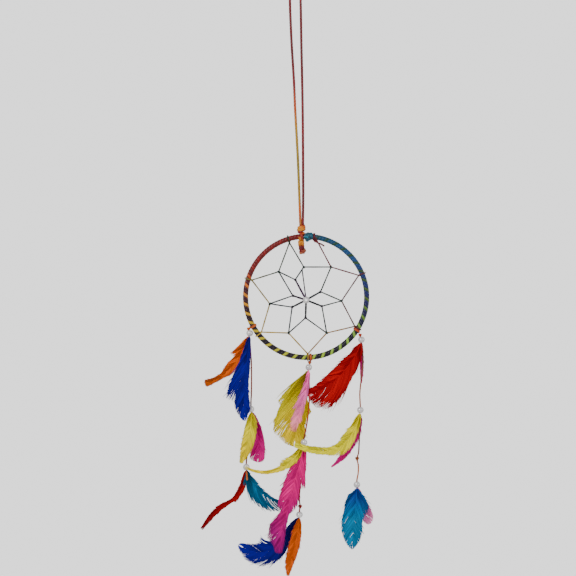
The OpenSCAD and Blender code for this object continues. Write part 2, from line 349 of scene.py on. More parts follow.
def wraps(centre, radius, height, turns):
    # cord wound round an upright barrel, each turn lying aslant
    slant, count = 0.3, 60
    line = []
    for i in range(count + 1):
        u = i / count
        a = 2 * math.pi * turns * u
        r = radius * (0.72 + 0.28 * math.sin(math.pi * u))
        line.append(centre + Vector((r * math.cos(a), r * math.sin(a),
                                     height * (0.5 - u) + slant * r * math.cos(a))))
    return line


def trefoil(centre, wide, deep):
    # an overhand knot drawn tight: wide is its reach over three, deep half the gap at the crossings
    count = 48
    line = []
    for i in range(count + 1):
        t = 2 * math.pi * i / count
        u = wide * (math.sin(t) + 2 * math.sin(2 * t))
        v = wide * (math.cos(t) - 2 * math.cos(2 * t))
        w = -deep * math.sin(3 * t)
        line.append(centre + Vector((u, w, v)))
    return line


crimson = dye(120, 16, 30)
darkRed = dye(92, 12, 20)
orange = dye(196, 92, 30)
gold = dye(172, 130, 40)
olive = dye(140, 120, 44)

loop = {
    "diameter": 2.5 * mm,
    "points": [
        (4.9, -213.6), (4.3, -197), (2.6, -154), (0.2, -110), (-1, -83), (-3.2, -47),
        (-4.6, -11), (-3.9, -5), (-2.3, -0.8), (0, 1.2), (2.3, -0.8), (4.2, -5),
        (5, -11), (5.8, -54), (6.7, -97), (7.2, -140), (7.4, -183), (7.3, -199), (7.0, -213.6)],
    # dye along the cord, from its left end over the nail to its right end
    "stops": [(0.0, dye(184, 120, 60)), (0.03, orange), (0.06, gold), (0.12, olive), (0.2, gold),
              (0.24, orange), (0.29, crimson), (0.36, darkRed), (0.5, crimson), (0.64, darkRed),
              (0.8, crimson), (0.96, darkRed), (1.0, crimson)],
}


def makeLoop():
    line = smooth([Vector((x * mm, 0, z * mm)) for x, z in loop["points"]], 1.2 * mm)
    material = cordMaterial("loopSatin", loop["stops"])
    cord = tubeObject("loopCord", [tube(line, loop["diameter"] / 2, plies=3, pitch=9 * mm)], material)
    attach(cord, "loop")
    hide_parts("hanging_loop")


strings = {
    "diameter": 1.4 * mm,
    "left_string_1": [(-50.8, -36.2), (-50, -48), (-49.2, -62), (-49.2, -84), (-49.6, -94), (-49.6, -103.6)],
    "left_string_2": [(-49.6, -104.5), (-50.2, -116), (-51.4, -130), (-53, -142), (-53.8, -149),
                      (-53.8, -155.8)],
    "centre_string_1": [(2.4, -66.9), (2.8, -80), (2.8, -93), (1.6, -108), (-0.4, -120), (-1.8, -127),
                        (-1.9, -133.6)],
    "centre_string_2": [(-1.9, -134.5), (-2.6, -146), (-4.2, -162), (-5.6, -174), (-6.1, -182),
                        (-5.4, -188.5), (-6, -192.5), (-6, -198.6)],
    "right_string_1": [(49.8, -42), (51, -52), (51, -60), (49.8, -72), (48.4, -86), (48.6, -95), (48.8, -99),
                       (48.8, -104.4)],
    "right_string_2": [(48.8, -105.3), (48.2, -116), (47.8, -130), (47.2, -140), (45.9, -145.5), (47, -152),
                       (46.8, -159), (45.7, -165), (45.7, -171.6)],
    "dyes": {
        "left": [(0.0, dye(120, 44, 20)), (0.5, dye(150, 62, 24)), (1.0, dye(110, 40, 22))],
        "centre": [(0.0, dye(176, 84, 24)), (0.4, dye(196, 88, 20)), (0.8, dye(132, 40, 24)),
                   (1.0, dye(120, 32, 24))],
        "right": [(0.0, dye(130, 70, 52)), (0.5, dye(118, 60, 40)), (0.8, dye(178, 96, 36)),
                  (1.0, dye(110, 44, 24))],
    },
}


def makeStrings():
    for side in ("left", "centre", "right"):
        material = cordMaterial(side + "StringDye", strings["dyes"][side])
        for k in (1, 2):
            node = f"{side}_string_{k}"
            line = smooth([onPlane(x, z) for x, z in strings[node]], 0.6 * mm)
            radius = strings["diameter"] / 2
            piece = tubeObject(f"{side}String{k}",
                               [tube(line, radius, plies=2, pitch=3.4 * mm, sides=10)], material)
            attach(piece, side + ("_middle" if k == 1 else "_lower"))
            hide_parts(node)


makeLoop()
makeStrings()
print("loop and strings ready")

hoop = {
    "ring": 54.5 * mm,
    "turns": 40,
    "start": 92,
    "end": 449,
    "steps": 18,
    # dye round the hoop, by share of a full turn from the right-hand side
    "dark": [(0.0, dye(18, 24, 76)), (0.05, dye(20, 40, 96)), (0.12, dye(24, 66, 112)),
             (0.235, dye(20, 62, 84)), (0.25, dye(98, 3, 14)), (0.42, dye(104, 4, 18)),
             (0.47, dye(64, 6, 26)), (0.54, dye(38, 4, 20)), (0.6, dye(20, 4, 20)),
             (0.75, dye(18, 4, 24)), (0.9, dye(10, 6, 26)), (1.0, dye(20, 22, 76))],
    "light": [(0.0, dye(62, 84, 26)), (0.06, dye(40, 68, 34)), (0.16, dye(22, 60, 40)),
              (0.235, dye(16, 56, 56)), (0.25, dye(118, 10, 22)), (0.42, dye(124, 12, 22)),
              (0.46, dye(190, 92, 30)), (0.5, dye(204, 132, 36)), (0.58, dye(186, 160, 52)),
              (0.68, dye(172, 168, 60)), (0.78, dye(150, 178, 62)), (0.88, dye(128, 168, 70)),
              (0.95, dye(84, 116, 40)), (1.0, dye(62, 84, 26))],
}


def ringFrame(angle):
    a = math.radians(angle)
    out = Vector((math.cos(a), 0, math.sin(a)))
    return Vector((hoopX, 0, hoopZ)) + out * hoop["ring"], out


def coil(first, last, turns, radius, steps, phase=0.0):
    # a cord's line wound round the hoop's tube between two hoop angles, with its outward directions
    line, outward = [], []
    count = max(2, round(turns * steps))
    for i in range(count + 1):
        u = i / count
        centre, out = ringFrame(first + (last - first) * u)
        b = 2 * math.pi * (turns * u + phase)
        normal = out * math.cos(b) + front * math.sin(b)
        line.append(centre + normal * radius)
        outward.append(normal)
    return line, outward


def windingObject(name, line, outward, wide, thick, first, last, material, sides=10):
    verts, faces, along, ply = tube(line, wide, thick, plies=0, sides=sides, outward=outward)
    share = [((first + (last - first) * a) % 360) / 360 for a in along]
    # painted shade: the sunk edges of each winding are darkened
    edge = [abs(math.cos(2 * math.pi * (i % sides) / sides)) for i in range(len(verts))]
    return meshObject(name, verts, faces, {"along": share, "ply": edge}, material)


def makeHoop():
    first, last = hoop["start"], hoop["end"]
    turns = hoop["turns"] * (last - first) / 360
    dark = cordMaterial("darkWinding", hoop["dark"], gloss=0.36)
    light = cordMaterial("lightWinding", hoop["light"], gloss=0.4)
    for name, phase, wide, radius, material, node in (
            ("darkWindingA", 0.0, 1.4, 1.86, dark, "hoop_wrap"),
            ("darkWindingB", 0.34, 1.4, 1.86, dark, None),
            ("lightWinding", 0.67, 1.32, 1.88, light, "hoop_stripe")):
        line, outward = coil(first, last, turns, radius * mm, hoop["steps"], phase)
        piece = windingObject(name, line, outward, wide * mm, 0.6 * mm, first, last, material)
        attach(piece, "hoop")
        if node:
            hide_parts(node)
    bpy.data.objects["hoop_core"].data.materials.clear()
    bpy.data.objects["hoop_core"].data.materials.append(wireMaterial())


wrapEnd = {
    "first": 90.4, "last": 84.6, "turns": 2.3, "radius": 3.0 * mm, "knot": (1.0, 52.6, -3.0),
    "stops": [(0.0, dye(20, 66, 84)), (0.35, dye(14, 40, 48)), (0.7, dye(44, 118, 138)),
              (1.0, dye(20, 50, 70))],
}


def makeWrapEnd():
    material = cordMaterial("wrapEndDye", wrapEnd["stops"])
    line, outward = coil(wrapEnd["first"], wrapEnd["last"], wrapEnd["turns"], wrapEnd["radius"], 20, 0.1)
    bulge = trefoil(onPlane(*wrapEnd["knot"]), 0.75 * mm, 0.7 * mm)
    piece = tubeObject("wrapEndKnot", [tube(line, 1.5 * mm, 0.8 * mm, outward=outward, sides=10),
                                       tube(bulge, 1.0 * mm, sides=8, closed=True)], material)
    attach(piece, "hoop")
    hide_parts("wrap_end_knot")


makeHoop()
makeWrapEnd()
print("hoop ready")


hitch = {
    "angle": 94.2,
    "knotRise": 6.9 * mm, "knotRadius": 2.75 * mm, "knotHeight": 5.2 * mm, "knotTurns": 2.8,
    "tailDrop": 4.2 * mm, "tailLength": 9.2 * mm, "roundPoints": 57, "pointsPerRound": 20,
    "stops": [(0.0, crimson), (0.2, dye(214, 140, 50)), (0.32, dye(206, 96, 34)), (0.45, crimson),
              (0.62, dye(220, 150, 60)), (0.8, dye(170, 40, 26)), (1.0, crimson)],
    "tailStops": [(0.0, dye(216, 146, 40)), (0.3, dye(196, 110, 36)), (0.4, crimson), (0.6, darkRed),
                  (0.8, crimson), (0.92, dye(214, 140, 90)), (1.0, crimson)],
}


def makeHitch():
    material = cordMaterial("hitchDye", hitch["stops"])
    centre, _ = ringFrame(hitch["angle"])
    top = Vector((centre.x - 0.3 * mm, 0, centre.z + hitch["knotRise"]))
    knot = wraps(top, hitch["knotRadius"], hitch["knotHeight"], hitch["knotTurns"])
    band, outward = coil(96.2, 92.3, 1.9, 3.5 * mm, 24, 0.25)
    core = [top + Vector((0, 0, z * mm)) for z in (3.6, 1.8, 0, -1.8, -4)]
    piece = tubeObject("hitchKnot", [tube(knot, 1.45 * mm, plies=3, pitch=8 * mm),
                                     tube(core, 1.7 * mm, spans=(0.4, 0.5)),
                                     tube(band, 1.3 * mm, 0.85 * mm, outward=outward, spans=(0.1, 0.75))],
                       material)
    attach(piece, "hitch")
    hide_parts("hitch_knot")

    # two strands, the turns that bind them, and the end knot
    low = centre.z - hitch["tailDrop"]
    x = centre.x - 0.5 * mm
    strands = []
    for side in (-1, 1):
        line = smooth([Vector((x + side * dx * mm, y * mm, low - z * mm)) for dx, y, z in
                       ((1.2, -1.5, -0.4), (1.35, -1.3, 1.2), (1.25, -0.6, 3), (0.8, 0, 4.6))], 0.4 * mm)
        strands.append(tube(line, 1.6 * mm, plies=3, pitch=8 * mm, spans=(0, 0.3)))
    rounds = []
    for i in range(hitch["roundPoints"]):
        a = 2 * math.pi * i / hitch["pointsPerRound"]
        rounds.append(Vector((x + 0.4 * mm + 1.6 * mm * math.cos(a), 1.6 * mm * math.sin(a),
                              low - 4.1 * mm - i / (hitch["roundPoints"] - 1) * 3.2 * mm)))
    strands.append(tube(rounds, 1.15 * mm, plies=3, pitch=6 * mm, spans=(0.4, 0.72)))
    end = wraps(Vector((x + 1.3 * mm, 0, low - hitch["tailLength"])), 2.1 * mm, 2.6 * mm, 1.9)
    strands.append(tube(end, 1.35 * mm, plies=3, pitch=6 * mm, spans=(0.7, 1)))
    strands.append(tube([Vector((x + 0.4 * mm, 0, low - z * mm)) for z in (3.4, 5.4, 7.4, 9.8)], 1.2 * mm,
                        spans=(0.5, 0.8)))
    tail = tubeObject("hitchTail", strands, cordMaterial("hitchTailDye", hitch["tailStops"]))
    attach(tail, "hitch")
    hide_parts("hitch_tail")


makeHitch()
print("hitch ready")

web = {
    "thread": 0.67 * mm,
    "step": 1.2 * mm,
    "ties": [106.9, 162.8, 218.2, 271.6, 328.9, 22.2, 82.7],
    "outer": [(-2.1, 26.9), (22.4, 26.9), (31.9, -3.6), (18.5, -32.5), (-15.8, -32.5), (-32.7, -6.2),
              (-24.7, 22.7)],
    "inner": [(13, 4.6), (14.2, -8.4), (-0.5, -18.9), (-12.6, -9.2), (-12, 1.1), (-9.8, 15.5)],
    "bead": (0, -2.8),
    "outerStops": [(0.0, dye(96, 20, 30)), (0.15, dye(92, 26, 34)), (0.22, dye(74, 34, 34)),
                   (0.34, dye(84, 50, 34)), (0.36, dye(150, 110, 56)), (0.45, dye(140, 104, 50)),
                   (0.5, dye(170, 140, 60)), (0.6, dye(176, 148, 66)), (0.68, dye(140, 122, 60)),
                   (0.75, dye(110, 100, 52)), (0.8, dye(34, 50, 22)), (1.0, dye(14, 34, 18))],
    "middleStops": [(0.0, dye(14, 40, 22)), (0.3, dye(10, 32, 22)), (0.6, dye(8, 28, 32)),
                    (1.0, dye(12, 36, 30))],
    "innerStops": [(0.0, dye(8, 20, 24)), (0.6, dye(8, 8, 12)), (1.0, dye(48, 12, 52))],
    "drop": (-3.6, 24.6),
}


def turnRound(angle, entry):
    # the thread's one turn round the tube, with a slight lead along it
    line, _ = coil(angle - 0.45, angle + 0.45, 1.12, 2.98 * mm, 14, entry)
    return line


def ringKnot(centre, way, radius):
    # a half hitch drawn tight round the thread that runs along way
    across = way.cross(front).normalized()
    line = []
    for i in range(25):
        a = 2 * math.pi * 1.6 * i / 24
        line.append(centre + way * ((i / 24 - 0.5) * 1.6 * mm)
                    + (across * math.cos(a) + front * math.sin(a)) * radius)
    return tube(line, web["thread"] * 0.95, sides=8)


def cutUp(points, step):
    # straight stretches from point to point, in even pieces
    out = []
    for a, b in zip(points, points[1:]):
        count = max(1, round((b - a).length / step))
        out += [a.lerp(b, k / count) for k in range(count)]
    out.append(points[-1])
    return out


def threadTube(line, share=1, spans=(0, 1)):
    return tube(line, web["thread"] * share, plies=2, pitch=2.6 * mm, sides=8, spans=spans)


def makeWeb():
    outerMaterial = cordMaterial("webOuterDye", web["outerStops"], gloss=0.5)
    middleMaterial = cordMaterial("webMiddleDye", web["middleStops"], gloss=0.5)
    innerMaterial = cordMaterial("webInnerDye", web["innerStops"], gloss=0.5)
    outer = [onPlane(*p) for p in web["outer"]]
    inner = [onPlane(*p) for p in web["inner"]]
    line = turnRound(web["ties"][6], 0.0)
    for i in range(1, 7):
        line.append(outer[i])
        line += turnRound(web["ties"][6 - i], 0.44)
    line += [outer[0], outer[1]]
    pieces = [("webOuter", [threadTube(cutUp(line, web["step"]))], outerMaterial, ("web_outer", "web_ties"),
               "web_thread")]
    line = [outer[1]]
    for i in range(6):
        line += [inner[i] + front * 0.3 * mm, outer[(i + 2) % 7] - front * 0.3 * mm]
    tubes = [threadTube(cutUp(line, web["step"]))]
    for i in range(7):
        way = (outer[(i + 1) % 7] - onPlane(0, 0)).normalized()
        tubes.append(ringKnot(outer[(i + 1) % 7], way, 0.62 * mm))
    pieces.append(("webMiddle", tubes, middleMaterial, ("web_middle",), "web_thread"))
    centre = onPlane(*web["bead"])
    tubes = []
    for i, p in enumerate(inner):
        way = (p - centre).normalized()
        side = way.cross(front)
        for s in (-1, 1):
            points = [p + side * 0.2 * s * mm, p.lerp(centre, 0.5) + side * 0.32 * s * mm,
                      centre + way * 2.4 * mm + side * 0.3 * s * mm]
            tubes.append(threadTube(smooth(points, 1.0 * mm), 0.95, (i / 6, (i + 1) / 6)))
        tubes.append(ringKnot(p, way, 0.7 * mm))
    # one thread drops straight from the round to the bead
    drop = onPlane(*web["drop"])
    points = [drop, drop.lerp(centre, 0.5) + front * 0.4 * mm, centre.lerp(drop, 0.09)]
    tubes.append(threadTube(smooth(points, 1.0 * mm), 0.9))
    pieces.append(("webInner", tubes, innerMaterial, ("web_inner",), "dark_thread"))
    # the knot where the web was begun, with the thread's cut end
    startKnot = trefoil(onPlane(8, 50.4, -0.4), 0.34 * mm, 0.5 * mm)
    loose = smooth([onPlane(8, 50.2, -0.4), onPlane(10.6, 48.6, -0.9), onPlane(13.4, 47.6, -0.9),
                    onPlane(16.4, 45.6, -0.4)], 0.6 * mm)
    pieces.append(("webStart", [tube(startKnot, 0.5 * mm, sides=8, closed=True), threadTube(loose, 1.15)],
                   cordMaterial("webStartDye", [(0.0, dye(110, 22, 34)), (1.0, dye(84, 26, 30))]),
                   ("web_start_knot",), "red_thread"))
    for name, tubes, material, nodes, slot in pieces:
        piece = tubeObject(name, tubes, material)
        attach(piece, "hoop")
        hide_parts(*nodes)


makeWeb()
print("web ready")

beads = {"radius": 3.0 * mm, "bore": 1.35 * mm, "webRadius": 3.2 * mm, "webBore": 1.0 * mm, "lip": 0.25 * mm}


def beadMesh(radius, bore):
    bpy.ops.object.select_all(action="DESELECT")
    bpy.ops.mesh.primitive_uv_sphere_add(segments=40, ring_count=24, radius=radius)
    ball = bpy.context.object
    bpy.ops.mesh.primitive_cylinder_add(vertices=40, radius=bore, depth=radius * 3)
    drill = bpy.context.object
    cut = ball.modifiers.new("hole", "BOOLEAN")
    cut.operation = "DIFFERENCE"
    cut.object = drill
    cut.solver = "EXACT"
    bpy.ops.object.select_all(action="DESELECT")
    bpy.context.view_layer.objects.active = ball
    ball.select_set(True)
    bpy.ops.object.modifier_apply(modifier="hole")
    bpy.data.objects.remove(drill)
    lip = ball.modifiers.new("lip", "BEVEL")
    lip.width = beads["lip"]
    lip.segments = 3
    lip.limit_method = "ANGLE"
    lip.angle_limit = math.radians(35)
    bpy.ops.object.modifier_apply(modifier="lip")
    bpy.ops.object.shade_smooth_by_angle(angle=math.radians(40))
    return ball


def makeBeads():
    material = pearlMaterial()
    first = beadMesh(beads["radius"], beads["bore"])
    first.data.materials.append(material)
    for side in ("left", "centre", "right"):
        for k, part in bodyOf.items():
            node = f"{side}_bead_{k}"
            copy = bpy.data.objects.new(f"{side}Bead{k}", first.data.copy())
            bpy.context.collection.objects.link(copy)
            for v in copy.data.vertices:
                v.co += Vector(middle(node))
            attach(copy, side + part)
            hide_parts(node)
    bpy.data.objects.remove(first)
    hub = beadMesh(beads["webRadius"], beads["webBore"])
    hub.name = "webBead"
    hub.data.materials.append(material)
    for v in hub.data.vertices:
        x, y, z = v.co
        v.co = Vector((x, z, -y)) + Vector(middle("web_bead"))
    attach(hub, "hoop")
    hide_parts("web_bead")


makeBeads()
print("beads ready")

# each string's tie round the hoop, its knot and its first bead
ties = {
    "left": {"angle": 208.9, "knot": (-51.8, -28.8), "bead": (-50.8, -32.7),
             "stops": [(0.0, dye(196, 98, 30)), (0.5, dye(150, 62, 24)), (1.0, dye(206, 120, 44))]},
    "centre": {"angle": 274.2, "knot": (3.2, -59.1), "bead": (2.4, -63.4),
               "stops": [(0.0, dye(150, 74, 30)), (0.5, dye(180, 86, 30)), (1.0, dye(96, 34, 24))]},
    "right": {"angle": 326.6, "knot": (48.6, -34.4), "bead": (49.8, -38.5),
              "stops": [(0.0, dye(150, 40, 30)), (0.5, dye(190, 84, 40)), (1.0, dye(140, 30, 26))]},
}


tieBand = {"reach": 0.75, "turns": 1.95, "radius": 2.95 * mm, "steps": 22}


def makeTies():
    for side, tie in ties.items():
        material = cordMaterial(side + "TieDye", tie["stops"])
        line, outward = coil(tie["angle"] + tieBand["reach"], tie["angle"] - tieBand["reach"],
                             tieBand["turns"], tieBand["radius"], tieBand["steps"], 0.1)
        band = tubeObject(side + "Tie", [tube(line, 0.75 * mm, 0.5 * mm, outward=outward, sides=10)],
                          material)
        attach(band, "hoop")
        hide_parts(side + "_tie")
        knot = onPlane(*tie["knot"])
        bead = onPlane(*tie["bead"])
        ball = trefoil(knot, 0.38 * mm, 0.55 * mm)
        lead = smooth([knot, knot.lerp(bead, 0.4), bead + Vector((0, 0, 0.6 * mm))], 0.4 * mm)
        piece = tubeObject(side + "Knot", [tube(ball, 0.62 * mm, sides=8, closed=True),
                                           tube(lead, 0.55 * mm, plies=2, pitch=2.6 * mm, sides=8)], material)
        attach(piece, side + "_top")
        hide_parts(side + "_knot")
    tail = smooth([onPlane(-53.8, -157), onPlane(-53.4, -160), onPlane(-53.1, -165)], 0.4 * mm)
    piece = tubeObject("leftTail", [tube(tail, 0.75 * mm, plies=2, pitch=3.4 * mm)],
                       cordMaterial("leftTailDye", [(0.0, dye(190, 96, 30)), (1.0, dye(206, 116, 40))]))
    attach(piece, "left_lower")
    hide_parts("left_tail")
    for node, place, body, stops in (
            ("centre_string_knot", (-5.4, -188.6), "centre_lower",
             [(0.0, dye(150, 30, 24)), (1.0, dye(120, 40, 30))]),
            ("right_string_knot", (45.9, -145.5), "right_lower",
             [(0.0, dye(150, 84, 40)), (1.0, dye(120, 56, 36))])):
        knot = trefoil(onPlane(*place), 0.46 * mm, 0.7 * mm)
        piece = tubeObject(node.replace("_string_knot", "StringKnot"),
                           [tube(knot, 0.65 * mm, plies=2, pitch=3 * mm, closed=True)],
                           cordMaterial(node + "Dye", stops))
        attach(piece, body)
        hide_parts(node)


makeTies()
print("ties ready")

layers = {"first": 4.2, "step": 1.8, "quill": 1.08, "quillTurn": 1.6}
# wide and thick: half a barb's size in mm; rootBack and rootGap: how far its root lies behind its tip;
# jitters: spread of the random differences; toneLift and toneJitter spread each barb's tone, whose bright end
# is painted highlight
barbs = {
    "stations": 7, "spacing": 0.24, "wide": 0.4, "thick": 0.09, "taper": 0.78,
    "angle": math.radians(34), "bow": 0.45, "tilt": 0.3, "liftTilt": 0.22,
    "rootBack": 1.7, "rootGap": 1.2 * mm, "rootLast": 0.94,
    "lockLeast": 7, "lockMost": 24, "stray": 0.04, "strayReach": 1.22,
    "reachJitter": 0.06, "leanJitter": 0.2, "tipJitter": 0.003, "toneLift": 0.13, "toneJitter": 0.17,
}
shaft = {"steps": 120, "settle": 12, "root": 0.42, "taper": 0.32, "quillUp": 1.6 * mm, "tone": 0.8}

blueDye = [(0.0, dye(22, 0, 78)), (0.3, dye(32, 0, 116)), (0.8, dye(34, 4, 128)), (1.0, dye(34, 54, 168))]
navyDye = [(0.0, dye(22, 0, 80)), (0.4, dye(32, 0, 118)), (0.85, dye(34, 4, 128)), (1.0, dye(50, 64, 176))]
orangeDye = [(0.0, dye(206, 92, 10)), (0.5, dye(206, 96, 10)), (1.0, dye(150, 74, 26))]
amberDye = [(0.0, dye(140, 64, 8)), (0.4, dye(200, 92, 4)), (1.0, dye(186, 86, 14))]
yellowDye = [(0.0, dye(176, 160, 0)), (0.3, dye(216, 206, 0)), (1.0, dye(208, 202, 0))]
goldDye = [(0.0, dye(160, 146, 0)), (0.3, dye(218, 206, 0)), (0.7, dye(224, 196, 0)), (1.0, dye(214, 202, 0))]
magentaDye = [(0.0, dye(212, 0, 120)), (0.45, dye(194, 0, 116)), (0.7, dye(150, 0, 108)),
              (1.0, dye(132, 0, 104))]
roseDye = [(0.0, dye(132, 4, 70)), (0.4, dye(200, 8, 128)), (1.0, dye(210, 26, 134))]
redDye = [(0.0, dye(140, 0, 30)), (0.5, dye(160, 0, 36)), (0.88, dye(152, 2, 36)), (1.0, dye(206, 100, 110))]
darkRedDye = [(0.0, dye(150, 6, 6)), (0.5, dye(140, 2, 10)), (1.0, dye(96, 14, 28))]
tealDye = [(0.0, dye(10, 14, 100)), (0.16, dye(4, 70, 130)), (0.4, dye(0, 112, 150)), (1.0, dye(0, 100, 136))]
deepTealDye = [(0.0, dye(0, 40, 56)), (0.3, dye(0, 92, 126)), (0.7, dye(0, 84, 120)), (1.0, dye(4, 30, 86))]
pinkDye = [(0.0, dye(244, 104, 168)), (0.4, dye(238, 126, 182)), (0.75, dye(240, 150, 160)),
           (1.0, dye(232, 168, 100))]
paleDye = [(0.0, dye(226, 96, 160)), (1.0, dye(232, 150, 190))]

